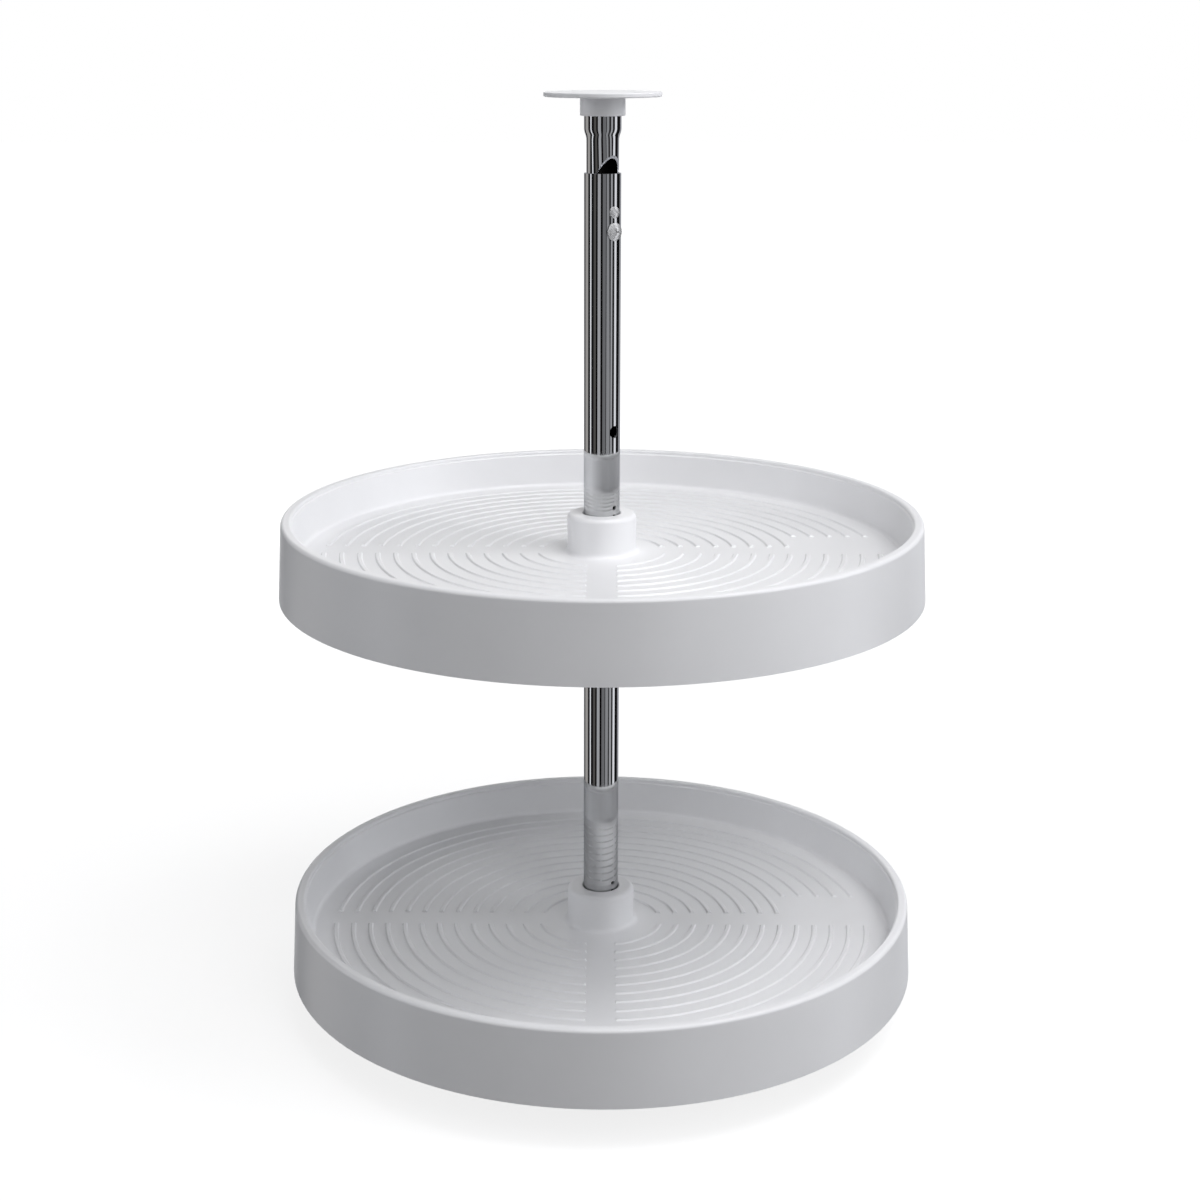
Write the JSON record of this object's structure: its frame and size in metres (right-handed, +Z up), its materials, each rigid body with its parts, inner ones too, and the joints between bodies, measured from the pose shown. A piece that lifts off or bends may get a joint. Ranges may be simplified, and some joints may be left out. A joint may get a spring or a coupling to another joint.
{
  "type": "rotating pantry tray set",
  "caption": "Two-tier full-circle rotating tray set on a telescoping chrome pole with round end plates, for the inside of a corner pantry cabinet.",
  "frame": {"origin": "centre of the bottom plate's flat underside, on the pole's axis", "axes": "+Z up along the pole, -Y towards the picture's camera, +X to its right"},
  "size_m": [0.4572, 0.4572, 0.6604],
  "materials": {
    "tray_plastic": "white moulded polymer, semi-gloss with a soft sheen",
    "plate_plastic": "white moulded polymer, satin",
    "bearing_plastic": "natural acetal or nylon, slightly waxy",
    "tube_chrome": "bright chrome plate on steel tube",
    "satin_nickel": "satin nickel plate",
    "plain_steel": "plain ground steel"
  },
  "bodies": {
    "mast": {"bottom_plate": "plate_plastic", "main_tube": "tube_chrome", "lock_nut": "plain_steel", "guide_rivet": "satin_nickel", "lower_pin": "plain_steel", "upper_pin": "plain_steel", "lower_washer": "bearing_plastic", "upper_washer": "bearing_plastic"},
    "lower_shelf": {"lower_tray": "tray_plastic", "lower_bush": "bearing_plastic"},
    "upper_shelf": {"upper_tray": "tray_plastic", "upper_bush": "bearing_plastic"},
    "mast_top": {"upper_tube": "tube_chrome", "top_plate": "plate_plastic"},
    "pad": {"lock_pad": "bearing_plastic"},
    "screw": {"lock_screw": "satin_nickel"}
  },
  "joints": [
    {"name": "lower_tray_spin", "type": "hinge", "parent": "mast", "child": "lower_shelf", "pos_m": [0, 0, 0.031], "axis": [0, 0, 1], "continuous": true},
    {"name": "upper_tray_spin", "type": "hinge", "parent": "mast", "child": "upper_shelf", "pos_m": [0, 0, 0.3159], "axis": [0, 0, 1], "continuous": true},
    {"name": "telescope_slide", "type": "slide", "parent": "mast", "child": "mast_top", "axis": [0, 0, 1], "range_m": [-0.0215, 0.115]},
    {"name": "lock_feed", "type": "slide", "parent": "mast", "child": "pad", "axis": [0.6428, -0.766, 0], "range_m": [0, 0.00381]},
    {"name": "lock_turn", "type": "hinge", "parent": "pad", "child": "screw", "pos_m": [0.00964, -0.01149, 0.568], "axis": [0.6428, -0.766, 0], "range_deg": [0, 1085]}
  ],
  "couplings": [
    {"joint": "lock_turn", "follows": "lock_feed", "rad_per_m": 4947.4}
  ]
}
